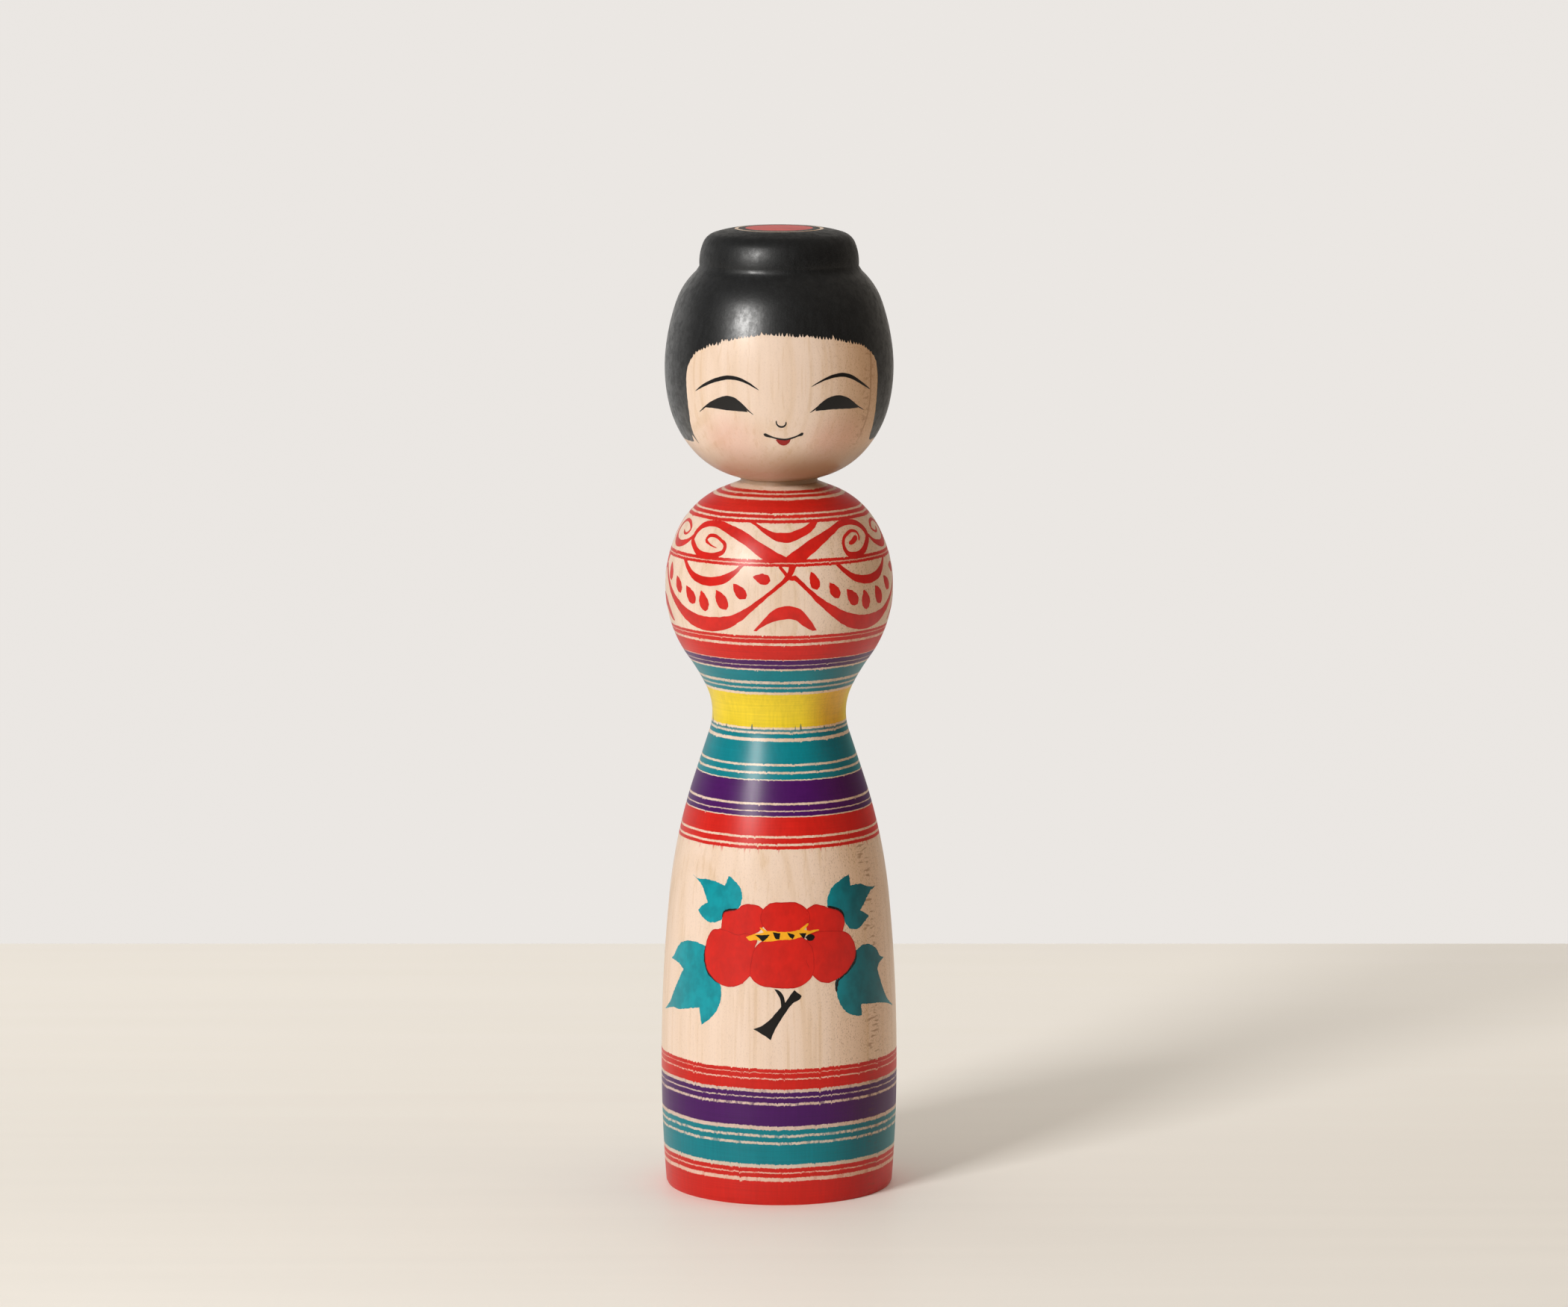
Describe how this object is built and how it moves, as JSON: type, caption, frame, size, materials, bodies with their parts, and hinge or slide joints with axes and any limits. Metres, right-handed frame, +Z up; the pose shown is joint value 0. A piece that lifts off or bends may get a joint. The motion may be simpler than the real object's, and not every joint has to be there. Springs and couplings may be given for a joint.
{
  "type": "turned wooden kokeshi doll",
  "caption": "Turned wooden doll with a pinched-waist cylindrical body and a separate round head with a stepped topknot, pegged into the body so that it turns.",
  "frame": {"origin": "middle of the flat base, on the turning axis", "axes": "+Z up along the turning axis, -Y the way the face looks, +X to the doll's left"},
  "size_m": [0.0595, 0.0594, 0.242],
  "materials": {
    "body_wood": "pale close-grained hardwood, dyed in turned red, purple, teal and yellow bands and brush painted, satin wax",
    "head_wood": "pale close-grained hardwood with black brushed hair and face, satin wax"
  },
  "bodies": {
    "body": {"body": "body_wood"},
    "head": {"head": "head_wood"}
  },
  "joints": [
    {"name": "head_turn", "type": "hinge", "parent": "body", "child": "head", "pos_m": [0, 0, 0.17], "axis": [0, 0, 1], "continuous": true}
  ]
}
